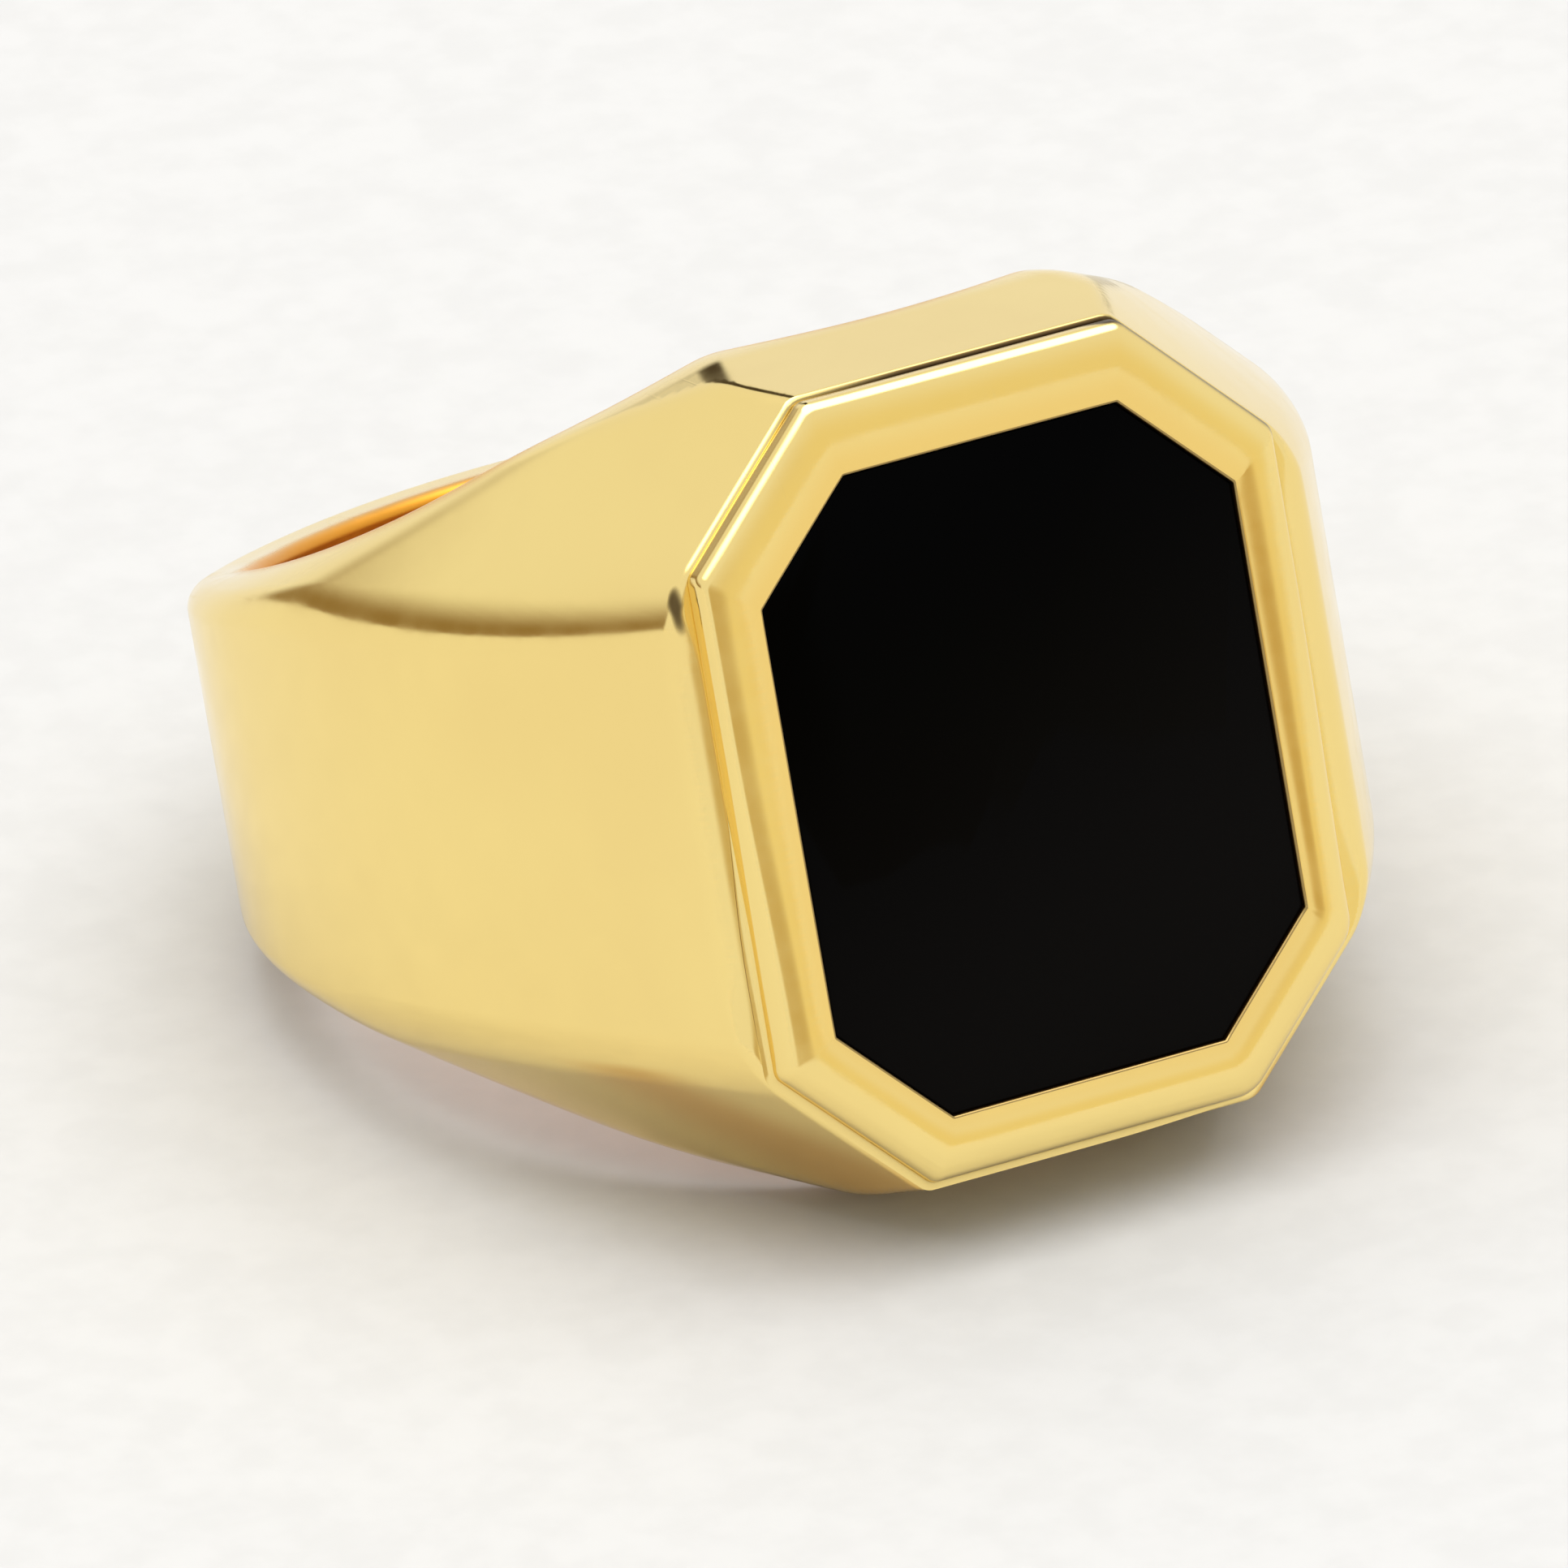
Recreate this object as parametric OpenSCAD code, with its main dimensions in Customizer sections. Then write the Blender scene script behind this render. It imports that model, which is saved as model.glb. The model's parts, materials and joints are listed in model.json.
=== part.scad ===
// Signet ring with an octagonal stone, lying on its side as it rests on a table.
// Millimetres. The origin is the centre of the finger hole.
// Each piece is drawn about its own axes and then laid down:
//   x runs across the finger, z runs along the finger,
//   and "out" is the distance from the finger axis towards the face, along -y.

/* [Band] */
// Diameter of the finger hole
bore_d = 19.8; // [17:0.1:21]
// Thickness of the band at its side and back
band_wall = 1.5; // [1.2:0.1:2]
// Width of the band at its back
band_w = 6.2; // [4:0.1:7]
// Radius of the sweep that widens the band towards the head
band_sweep_r = 35; // [33:0.5:40]

/* [Head] */
// Distance from the finger axis to the rim of the face
rim_out = 14.28; // [14:0.02:15]
// Width of the octagonal face, across the finger
face_w = 13.4; // [12.8:0.1:14]
// Length of the octagonal face, along the finger
face_l = 16.8; // [16:0.1:17.2]
// Length taken off each side at a corner of the face
face_cut = 3.05; // [2.6:0.05:3.4]
// Ledge of the head outside the long sides of the face
side_ledge = 0.55; // [0.3:0.05:0.7]
// Ledge of the head outside each cut corner of the face
corner_ledge = 0.18; // [0.1:0.02:0.24]
// Ledge of the head outside each short side of the face
end_ledge = 0.12; // [0.05:0.01:0.2]
// Distance that each end wall of the head spreads between the face and the finger hole
end_flare = 0.5; // [0.3:0.02:0.7]
// Radius of the long sweep behind each cut corner of the face
scoop_r = 38; // [34:1:42]
// Angle of the eased corner beside each end wall
ease_angle = 23.5; // [22:0.5:28]
// Half width of the flat end wall at the finger hole
ease_x = 3.9; // [3.6:0.1:4.2]
// Angle from the front at which the head is joined to the shank
joint_angle = 34; // [32:1:38]

/* [Setting] */
// Height of the frame that stands round the stone
frame_h = 0.7; // [0.6:0.02:0.9]
// Border of the frame beside the stone
border_side = 1.23; // [1:0.01:1.4]
// Border of the frame at the ends of the stone
border_end = 1.53; // [1.3:0.01:1.6]
// Depth of the frame's inner lip under its rim
lip_drop = 0.12; // [0.08:0.01:0.2]
// Width of the level part of the frame's rim
rim_flat = 0.25; // [0.1:0.05:0.4]
// Depth of the stone's face under the rim
stone_drop = 0.2; // [0.15:0.01:0.3]
// Thickness of the stone
stone_t = 1.7; // [1.4:0.1:2]
// Corner cut of the stone
stone_cut = 2.3; // [2:0.05:2.6]
// Gap between the stone and the metal round it
stone_gap = 0.04; // [0.03:0.01:0.06]
// Width of the bearing that the back of the stone rests on
bearing_w = 0.8; // [0.6:0.1:1.2]
// Height of the bearing, and thickness of the cement inside it
bearing_h = 0.35; // [0.3:0.05:0.5]

/* [Hidden] */
$fn = 240;
gold = "#e3c064";
onyx = "#0b0b0c";
cement = "#9c8f76";

bore_r = bore_d / 2;
band_r = bore_r + band_wall;
seam_out = rim_out - frame_h;
stone_w = face_w - 2 * border_side;
stone_l = face_l - 2 * border_end;
stone_out = rim_out - stone_drop;
pocket_out = stone_out - stone_t - bearing_h;
end_z = face_l / 2 + end_ledge;
end_run = seam_out - bore_r;
end_angle = atan(end_flare / end_run);
bore_end_z = end_z + end_flare;
// A side of the head is an arc that leaves the band at its widest point
// and ends at the ledge round the foot of the frame.
side_in = band_r - face_w / 2 - side_ledge;
side_r = (seam_out * seam_out + side_in * side_in) / (2 * side_in);
// A cut corner continues back as a cylinder laid at 45 degrees: scoop_top is
// its highest distance from the middle, reached level with the finger axis.
corner_line = (face_w + face_l - 2 * face_cut) / (2 * sqrt(2)) + corner_ledge;
scoop_top = corner_line + scoop_r - sqrt(scoop_r * scoop_r - seam_out * seam_out);
// The ring lies on two corners of its head, at the finger hole, and on the back of its band.
corner_in = sqrt(bore_r * bore_r - ease_x * ease_x);
corner_z = bore_end_z + (bore_r - corner_in) * tan(end_angle);
lean = atan((corner_z - band_w / 2) / (corner_in + band_r));
big = 80;
spare = 1;

module octagon(w, l, cut) {
    x = w / 2;
    z = l / 2;
    polygon([[x - cut, z], [x, z - cut], [x, cut - z], [x - cut, -z],
             [cut - x, -z], [-x, cut - z], [-x, z - cut], [cut - x, z]]);
}

// Extrudes an outline drawn in x and z between two distances from the finger axis.
module outward(from, to) {
    translate([0, -from, 0])
        rotate([90, 0, 0])
            linear_extrude(to - from)
                children();
}

module lay_down() {
    rotate([-lean, 0, 0])
        children();
}

module mirrored_ends() {
    children();
    mirror([0, 0, 1])
        children();
}

// Section of the whole hoop at right angles to the finger, without its hole
module hoop_prism() {
    cylinder(r = band_r, h = big, center = true);
    intersection() {
        translate([band_r - side_r, 0, 0])
            cylinder(r = side_r, h = big, center = true);
        translate([side_r - band_r, 0, 0])
            cylinder(r = side_r, h = big, center = true);
        translate([-big / 2, -seam_out, -big / 2])
            cube([big, seam_out, big]);
    }
}

// Everything inside the long sweep behind two opposite cut corners
module scoop_pair(turn) {
    rotate([0, turn, 0])
        intersection() {
            translate([0, 0, scoop_top - scoop_r])
                rotate([0, 90, 0])
                    cylinder(r = scoop_r, h = big, center = true);
            translate([0, 0, scoop_r - scoop_top])
                rotate([0, 90, 0])
                    cylinder(r = scoop_r, h = big, center = true);
        }
}

// What is taken off one side of the hoop to leave the band and the end wall
module end_waste() {
    translate([0, band_r, band_w / 2 + band_sweep_r])
        rotate([0, 90, 0])
            cylinder(r = band_sweep_r, h = big, center = true);
    translate([0, -bore_r, bore_end_z])
        rotate([end_angle, 0, 0])
            translate([-big / 2, -big / 2, 0])
                cube([big, big, big]);
    for (side = [-1, 1])
        translate([side * ease_x, 0, bore_end_z])
            rotate([0, side * ease_angle, 0])
                translate([-big / 2, -big / 2, 0])
                    cube([big, big, big]);
}

// Shank and head in one, with the finger hole, before they are parted
module hoop() {
    difference() {
        intersection() {
            hoop_prism();
            scoop_pair(45);
            scoop_pair(-45);
        }
        mirrored_ends()
            end_waste();
        cylinder(r = bore_r, h = big, center = true);
    }
}

// Wedge in front of the two planes where the head is joined to the shank
module head_wedge() {
    reach = big / 2;
    linear_extrude(big, center = true)
        polygon([[0, 0], [-reach * tan(joint_angle), -reach], [reach * tan(joint_angle), -reach]]);
}

module stone_outline(grow) {
    octagon(stone_w + 2 * grow, stone_l + 2 * grow, stone_cut + grow * (2 - sqrt(2)));
}

module shank() {
    color(gold)
        lay_down()
            difference() {
                hoop();
                head_wedge();
            }
}

module head_block() {
    color(gold)
        lay_down()
            difference() {
                intersection() {
                    hoop();
                    head_wedge();
                }
                outward(pocket_out, big)
                    stone_outline(stone_gap);
            }
}

// The frame: a flat-topped rim that slopes gently down to a lip at the stone
module bezel_frame() {
    lip_out = rim_out - lip_drop;
    thin = 0.001;
    color(gold)
        lay_down()
            difference() {
                outward(seam_out, rim_out)
                    octagon(face_w, face_l, face_cut);
                outward(seam_out - spare, rim_out + spare)
                    stone_outline(stone_gap);
                hull() {
                    outward(rim_out, rim_out + thin)
                        octagon(face_w - 2 * rim_flat, face_l - 2 * rim_flat,
                                face_cut - rim_flat * (2 - sqrt(2)));
                    outward(lip_out, lip_out + thin)
                        stone_outline(stone_gap);
                }
            }
}

module stone_bearing() {
    color(gold)
        lay_down()
            outward(pocket_out, pocket_out + bearing_h)
                difference() {
                    stone_outline(stone_gap);
                    stone_outline(-bearing_w);
                }
}

module cement_bed() {
    color(cement)
        lay_down()
            outward(pocket_out, pocket_out + bearing_h)
                stone_outline(-bearing_w);
}

module onyx_tablet() {
    color(onyx)
        lay_down()
            outward(stone_out - stone_t, stone_out)
                stone_outline(0);
}

shank();
head_block();
bezel_frame();
stone_bearing();
cement_bed();
onyx_tablet();
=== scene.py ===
"""A gold signet ring with an octagonal onyx, lying on its side on a pale table.

Lengths in this file are millimetres in the ring's own axes: x across the finger, z along the
finger axis, and y so that the stone faces -y. The finger axis leans in the frame, because the
ring lies on its side, and lay_down() turns ring axes into the frame's metres.
"""

import json
import math

import bpy
import numpy as np
from mathutils import Matrix, Vector


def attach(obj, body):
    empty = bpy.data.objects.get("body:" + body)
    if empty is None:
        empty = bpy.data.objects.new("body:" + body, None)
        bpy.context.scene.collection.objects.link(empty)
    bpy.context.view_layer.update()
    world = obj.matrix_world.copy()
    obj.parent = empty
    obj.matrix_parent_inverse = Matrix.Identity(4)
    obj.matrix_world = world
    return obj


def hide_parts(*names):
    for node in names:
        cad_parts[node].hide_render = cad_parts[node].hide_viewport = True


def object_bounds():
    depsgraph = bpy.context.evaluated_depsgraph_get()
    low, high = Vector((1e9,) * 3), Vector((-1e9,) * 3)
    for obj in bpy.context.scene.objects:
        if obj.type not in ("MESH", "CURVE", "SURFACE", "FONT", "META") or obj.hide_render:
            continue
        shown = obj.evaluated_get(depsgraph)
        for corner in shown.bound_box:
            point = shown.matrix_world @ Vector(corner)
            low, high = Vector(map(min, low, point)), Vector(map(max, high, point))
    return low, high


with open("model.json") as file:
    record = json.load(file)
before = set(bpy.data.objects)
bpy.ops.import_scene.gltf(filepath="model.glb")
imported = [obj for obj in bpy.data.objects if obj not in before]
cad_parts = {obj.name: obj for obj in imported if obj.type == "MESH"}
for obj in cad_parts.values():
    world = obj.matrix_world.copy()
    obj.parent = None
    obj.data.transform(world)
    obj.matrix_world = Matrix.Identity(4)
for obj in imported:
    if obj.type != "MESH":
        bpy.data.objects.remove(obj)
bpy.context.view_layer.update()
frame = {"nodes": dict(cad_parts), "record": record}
MM = 0.001
MICRON = 0.000001


# ---------------------------------------------------------------- frame and sizes

FINGER = frame["record"]["mounts"][0]
AXIS = Vector(FINGER["axis"]).normalized()
LEAN = Matrix(((1, 0, 0), (0, AXIS.z, AXIS.y), (0, -AXIS.y, AXIS.z)))
LEAN_NP = np.array(LEAN)


def lay_down(points):
    """Ring-axes millimetres to frame metres, for an (n, 3) array."""
    return (np.asarray(points, float) @ LEAN_NP.T) * MM


def node_size(node):
    """Lowest and highest corner of a CAD node, measured in ring axes, in millimetres."""
    mesh = frame["nodes"][node].data
    points = np.array([v.co for v in mesh.vertices], float) @ LEAN_NP / MM
    return points.min(0), points.max(0)


FRAME_LOW, FRAME_HIGH = node_size("bezel_frame")
STONE_LOW, STONE_HIGH = node_size("onyx_tablet")

BORE_R = FINGER["dims"]["r_mm"]
BAND_R = node_size("shank")[1][1]
BAND_W = 6.2
RIM_OUT = -FRAME_LOW[1]
SEAM_OUT = -FRAME_HIGH[1]
FACE_W = FRAME_HIGH[0] - FRAME_LOW[0]
FACE_L = FRAME_HIGH[2] - FRAME_LOW[2]
STONE_W = STONE_HIGH[0] - STONE_LOW[0]
STONE_L = STONE_HIGH[2] - STONE_LOW[2]
STONE_OUT = -STONE_LOW[1]
STONE_BACK = -STONE_HIGH[1]
POCKET_BACK = -node_size("cement_bed")[1][1]

# Shapes that the frame doesn't give as a size.
SIDE_LEDGE = 0.55
CORNER_LEDGE = 0.18
END_LEDGE = 0.12
END_FLARE = 0.5
FACE_CUT = 3.05
STONE_CUT = 2.3
SWEEP_R = 35.0
SCOOP_R = 38.0
EASE_X = 3.9
EASE_ANGLE = math.radians(23.5)
JOINT_ANGLE = math.radians(34)

# The lower shoulders are filed a little less than the upper ones, and the upper right one most.
# The difference sets in over FILING_FADE from the middle.
LOWER_FULLNESS = 0.08
UPPER_RIGHT_FILING = 0.14
FILING_FADE = 4

# Radii that polishing leaves on the edges.
FLANK_EDGE = 0.5
SCOOP_EDGE = 1.5
BORE_EDGE = 0.28
FRONT_EDGE = 0.1
SIDE_FRONT_EDGE = 0.42

# How softly surfaces that meet at a blunt angle run into each other.
WALL_BLEND = 0.16
SCOOP_BLEND = 0.15

END_Z = FACE_L / 2 + END_LEDGE + END_FLARE
END_SLOPE = END_FLARE / (SEAM_OUT - BORE_R)
SIDE_IN = BAND_R - FACE_W / 2 - SIDE_LEDGE
SIDE_R = (SEAM_OUT ** 2 + SIDE_IN ** 2) / (2 * SIDE_IN)
CORNER_LINE = (FACE_W + FACE_L - 2 * FACE_CUT) / (2 * math.sqrt(2)) + CORNER_LEDGE
SCOOP_TOP = CORNER_LINE + SCOOP_R - math.sqrt(SCOOP_R ** 2 - SEAM_OUT ** 2)


# ---------------------------------------------------------------- the polished hoop

def smooth_step(value, low, high):
    """0 up to low, 1 from high, and a smooth rise between them."""
    share = np.clip((value - low) / (high - low), 0, 1)
    return share * share * (3 - 2 * share)


def round_join(a, b, radius):
    """Intersection of two fields with a rolled edge of the given radius."""
    outside = np.hypot(np.maximum(a + radius, 0), np.maximum(b + radius, 0))
    return np.minimum(-radius, np.maximum(a, b)) + outside


def blend_join(a, b, reach):
    """Intersection of two fields that meet at a blunt angle, blended where they differ by
    less than reach."""
    return np.maximum(a, b) + np.maximum(reach - np.abs(a - b), 0) ** 2 / (4 * reach)


def outer_field(x, y):
    """The hoop's outside, seen along the finger: a circle behind, two arcs in front."""
    behind = np.hypot(x, y) - BAND_R
    before = np.hypot(np.abs(x) + SIDE_R - BAND_R, y) - SIDE_R
    return np.where(y > 0, behind, before)


def end_field(x, y, z):
    """The surfaces that close the hoop along the finger: the band's sweep, the head's end
    walls with their eased corners, and the scooped shoulders."""
    upper_right = smooth_step(z, 0, FILING_FADE) * smooth_step(x, 0, FILING_FADE)
    fuller = LOWER_FULLNESS * smooth_step(-z, 0, FILING_FADE) - UPPER_RIGHT_FILING * upper_right
    x, z = np.abs(x), np.abs(z)
    sweep = SWEEP_R - np.hypot(y - BAND_R, z - BAND_W / 2 - SWEEP_R)
    tilt = math.atan(END_SLOPE)
    wall = math.cos(tilt) * (z - END_Z) - math.sin(tilt) * (y + BORE_R)
    ease = math.cos(EASE_ANGLE) * (z - END_Z) + math.sin(EASE_ANGLE) * (x - EASE_X)
    scoop = np.hypot((x + z) / math.sqrt(2) + SCOOP_R - SCOOP_TOP, y) - SCOOP_R - fuller
    corner = blend_join(scoop, blend_join(wall, ease, WALL_BLEND), SCOOP_BLEND)
    return round_join(corner, sweep, SCOOP_EDGE)


def front_edge(x, z):
    """Radius of the edge round the head's front; it is soft beside the frame's long sides,
    where the ledge is wide."""
    side = smooth_step(np.abs(x) - FACE_W / 2, -0.6, 0.1)
    corner = smooth_step(np.abs(z) - FACE_L / 2 + FACE_CUT, -2.2, 0.4)
    return FRONT_EDGE + (SIDE_FRONT_EDGE - FRONT_EDGE) * side * (1 - corner)


def hoop_field(points):
    """Negative inside the polished hoop, positive outside, for an (n, 3) array."""
    x, y, z = points.T
    body = round_join(outer_field(x, y), end_field(x, y, z), FLANK_EDGE)
    body = round_join(body, -y - SEAM_OUT, front_edge(x, z))
    return round_join(body, BORE_R - np.hypot(x, y), BORE_EDGE)


def field_normals(field, points, step=1e-4):
    """Unit normals of a field at each point, from small steps along the three axes."""
    gradient = np.empty_like(points)
    for axis in range(3):
        offset = np.zeros(3)
        offset[axis] = step
        gradient[:, axis] = field(points + offset) - field(points - offset)
    return gradient / np.linalg.norm(gradient, axis=1)[:, None]


# ---------------------------------------------------------------- mesh tools

HARD_ANGLE = 40


def eased(count):
    """Fractions from 0 up to, not including, 1, closer together at both ends."""
    return (1 - np.cos(np.pi * np.arange(count) / count)) / 2


def set_normals(mesh, smooth, hard_angle):
    """A face corner takes its point's smooth normal, unless that leans more than hard_angle
    degrees from the face, where the edge stays crisp."""
    loops = np.empty(len(mesh.loops), np.int64)
    mesh.loops.foreach_get("vertex_index", loops)
    flat = np.empty(len(mesh.polygons) * 3)
    mesh.polygons.foreach_get("normal", flat)
    totals = np.empty(len(mesh.polygons), np.int64)
    mesh.polygons.foreach_get("loop_total", totals)
    flat = np.repeat(flat.reshape(-1, 3), totals, axis=0)
    corner = smooth[loops]
    hard = (corner * flat).sum(1) < math.cos(math.radians(hard_angle))
    corner[hard] = flat[hard]
    mesh.polygons.foreach_set("use_smooth", np.ones(len(mesh.polygons), bool))
    mesh.normals_split_custom_set(corner.tolist())


def make_piece(name, points, faces, normals, material, hard_angle=HARD_ANGLE):
    """A closed piece from points in ring millimetres. Its normals are given, or None to take
    them from the mesh."""
    mesh = bpy.data.meshes.new(name)
    mesh.from_pydata(lay_down(points).tolist(), [], faces)
    mesh.update()
    if normals is None:
        smooth = np.array([n.vector for n in mesh.vertex_normals])
    else:
        smooth = np.asarray(normals) @ LEAN_NP.T
    set_normals(mesh, smooth, hard_angle)
    mesh.materials.append(material)
    piece = bpy.data.objects.new(name, mesh)
    bpy.context.scene.collection.objects.link(piece)
    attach(piece, "root")
    return piece


def loop_faces(rows, per_row, first=0):
    """Quads between closed loops that lie one after another."""
    faces = []
    for row in range(rows - 1):
        here = first + row * per_row
        there = here + per_row
        for i in range(per_row):
            j = (i + 1) % per_row
            faces.append((here + i, here + j, there + j, there + i))
    return faces


# ---------------------------------------------------------------- shank and head

# Steps of the mesh: along the finger on a flank, from the hole to the outside at an end,
# round the shank, and round the head beside and across its face.
FLANK_STEPS = 60
END_STEPS = 34
SHANK_STEPS = 560
HEAD_SIDE_STEPS = 26
HEAD_FACE_STEPS = 150

# Points are cast from a spine inside the section. It ends SPINE_IN times the section's half
# depth from the section's end. A cast goes CAST_SHARE times as far as its target, and is
# halved HALVINGS times to meet the surface.
SPINE_IN = 1.2
CAST_SHARE = 1.6
HALVINGS = 36

# The pocket is a little wider than the stone, which the frame holds in its place. Its cutter
# stands CUTTER_OUT out of the head. Corners of the cut head that are within ON_SURFACE of the
# hoop's surface take its normals.
POCKET_GAP = 0.15
CUTTER_OUT = 1
STONE_CORNER_R = 0.06
ON_SURFACE = 0.003


def outer_radius(angle):
    """Distance of the hoop's outside from the finger axis; angle 0 is the middle of the face."""
    side = np.abs(np.sin(angle))
    centre = SIDE_R - BAND_R
    arc = np.sqrt(SIDE_R ** 2 - centre ** 2 * (1 - side ** 2)) - centre * side
    front = SEAM_OUT / np.maximum(np.cos(angle), 1e-6)
    return np.where(np.cos(angle) > 0, np.minimum(arc, front), BAND_R)


def end_limit(radius, angle):
    """Half width of the hoop, before its edges are rolled."""
    x = radius * np.abs(np.sin(angle))
    y = -radius * np.cos(angle)
    sweep = BAND_W / 2 + SWEEP_R - np.sqrt(SWEEP_R ** 2 - (BAND_R - y) ** 2)
    wall = END_Z + END_SLOPE * (y + BORE_R)
    ease = END_Z - math.tan(EASE_ANGLE) * (x - EASE_X)
    scoop = (SCOOP_TOP - SCOOP_R + np.sqrt(SCOOP_R ** 2 - y ** 2)) * math.sqrt(2) - x
    return np.minimum(np.minimum(sweep, wall), np.minimum(ease, scoop))


def section_targets(angle):
    """Points round the hoop's sharp-edged section at each angle, as radius and z, then the
    section's outer radius and half width."""
    far = outer_radius(angle)[:, None]
    near = np.full_like(far, BORE_R)
    z_near = end_limit(near, angle[:, None])
    z_far = end_limit(far, angle[:, None])
    wide, thin = eased(FLANK_STEPS), eased(END_STEPS)
    radius = [near + 0 * wide, near + (far - near) * thin,
              far + 0 * wide, far + (near - far) * thin]
    z = [z_near * (2 * wide - 1), z_near + (z_far - z_near) * thin,
         z_far * (1 - 2 * wide), -z_far + (z_far - z_near) * thin]
    return np.hstack(radius), np.hstack(z), far, np.minimum(z_near, z_far)


def cast_sections(angle):
    """The rolled surface of the hoop, one closed loop of points for each angle, and the
    number of points in a loop."""
    radius, z, far, half = section_targets(angle)
    depth = (far - BORE_R) / 2
    spine = np.maximum(half - SPINE_IN * depth, 0)
    start = np.stack([np.broadcast_to(BORE_R + depth, z.shape), np.clip(z, -spine, spine)], -1)
    reach = np.stack([radius, z], -1) - start
    turn = np.broadcast_to(angle[:, None], z.shape)

    def place(share):
        r, spot_z = np.moveaxis(start + share[..., None] * reach, -1, 0)
        return np.stack([r * np.sin(turn), -r * np.cos(turn), spot_z], -1).reshape(-1, 3)

    low, high = np.zeros(z.shape), np.full(z.shape, CAST_SHARE)
    for _ in range(HALVINGS):
        middle = (low + high) / 2
        inside = hoop_field(place(middle)).reshape(z.shape) < 0
        low = np.where(inside, middle, low)
        high = np.where(inside, high, middle)
    return place((low + high) / 2), z.shape[1]


def hoop_piece(name, node, angle, material):
    """The stretch of the hoop between the first and last angle, closed at both joint faces."""
    points, per_row = cast_sections(angle)
    normals = field_normals(hoop_field, points)
    faces = loop_faces(len(angle), per_row)
    for row, flip in ((0, True), (len(angle) - 1, False)):
        loop = list(range(row * per_row, (row + 1) * per_row))
        turn = angle[row]
        middle = BORE_R + (outer_radius(turn) - BORE_R) / 2
        points = np.vstack([points, [middle * math.sin(turn), -middle * math.cos(turn), 0]])
        outward = (-1 if flip else 1) * np.array([math.cos(turn), math.sin(turn), 0])
        normals = np.vstack([normals, outward])
        hub = len(points) - 1
        for i in range(per_row):
            pair = (loop[i], loop[(i + 1) % per_row])
            faces.append((pair[1], pair[0], hub) if flip else (pair[0], pair[1], hub))
    piece = make_piece(name, points, faces, normals, material)
    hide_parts(node)
    return piece


def stone_pocket(head):
    """Cuts the stone's pocket into the head, and gives every corner its normal again."""
    gap = 2 * POCKET_GAP
    outline = octagon_loop(STONE_W + gap, STONE_L + gap, STONE_CUT, (0, 0), STONE_CORNER_R)
    rings = [np.stack([outline[:, 0], np.full(len(outline), -out), outline[:, 1]], 1)
             for out in (POCKET_BACK, SEAM_OUT + CUTTER_OUT)]
    count = len(outline)
    faces = loop_faces(2, count) + [tuple(range(count))[::-1], tuple(range(count, 2 * count))]
    mesh = bpy.data.meshes.new("pocket_cutter")
    mesh.from_pydata(lay_down(np.vstack(rings)).tolist(), [], faces)
    cutter = bpy.data.objects.new("pocket_cutter", mesh)
    bpy.context.scene.collection.objects.link(cutter)
    cut = head.modifiers.new("pocket", "BOOLEAN")
    cut.operation = "DIFFERENCE"
    cut.solver = "EXACT"
    cut.object = cutter
    bpy.context.view_layer.update()
    view = bpy.context.evaluated_depsgraph_get()
    carved = bpy.data.meshes.new_from_object(head.evaluated_get(view))
    head.modifiers.clear()
    bpy.data.objects.remove(cutter)
    points = np.array([v.co for v in carved.vertices], float) @ LEAN_NP / MM
    smooth = field_normals(hoop_field, points)
    smooth[np.abs(hoop_field(points)) > ON_SURFACE] = 0
    head.data = carved
    set_normals(carved, smooth @ LEAN_NP.T, HARD_ANGLE)


def shank_angles():
    """Angles of the shank's sections, from one joint round the back to the other."""
    return np.linspace(JOINT_ANGLE, 2 * math.pi - JOINT_ANGLE, SHANK_STEPS)


def head_angles():
    """Angles of the head's sections, close together where its front corners are."""
    corner = math.atan((FACE_W / 2 + SIDE_LEDGE) / SEAM_OUT)
    outer = corner + (JOINT_ANGLE - corner) * np.append(eased(HEAD_SIDE_STEPS), 1)
    inner = -corner + 2 * corner * eased(HEAD_FACE_STEPS)
    return np.concatenate([-outer[::-1][:-1], inner, outer])


# ---------------------------------------------------------------- frame round the stone

# Steps of an octagon's outline.
PER_SIDE = 22
PER_CORNER = 8


def octagon_loop(width, length, cut, centre, corner_r, low_right=None):
    """Octagon in x and z with rolled corners, counter-clockwise from the right side.
    low_right gives the lower right corner its own (cut, corner_r)."""
    w, l = width / 2, length / 2
    other, soft_r = low_right or (cut, corner_r)
    sharp = [(w, other - l), (w, l - cut), (w - cut, l), (cut - w, l),
             (-w, l - cut), (-w, cut - l), (cut - w, -l), (w - other, -l)]
    sharp = [np.array(p) for p in sharp]
    radii = [soft_r] + [corner_r] * 6 + [soft_r]
    loop = []
    for i, corner in enumerate(sharp):
        before, after = sharp[i - 1], sharp[(i + 1) % 8]
        arrive = (corner - before) / np.linalg.norm(corner - before)
        leave = (after - corner) / np.linalg.norm(after - corner)
        bend = math.acos(np.clip(arrive @ leave, -1, 1))
        bend_r, next_r = radii[i], radii[(i + 1) % 8]
        back = bend_r * math.tan(bend / 2)
        hub = corner - back * arrive + bend_r * np.array([-arrive[1], arrive[0]])
        out = np.array([arrive[1], -arrive[0]])
        for k in range(PER_CORNER + 1):
            turn = bend * k / PER_CORNER
            spin = np.array([[math.cos(turn), -math.sin(turn)], [math.sin(turn), math.cos(turn)]])
            loop.append(hub + bend_r * (spin @ out))
        first = corner + back * leave
        last = after - next_r * math.tan(math.pi / 8) * leave
        for k in range(1, PER_SIDE):
            loop.append(first + (last - first) * k / PER_SIDE)
    return np.array(loop) + np.array(centre)


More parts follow.
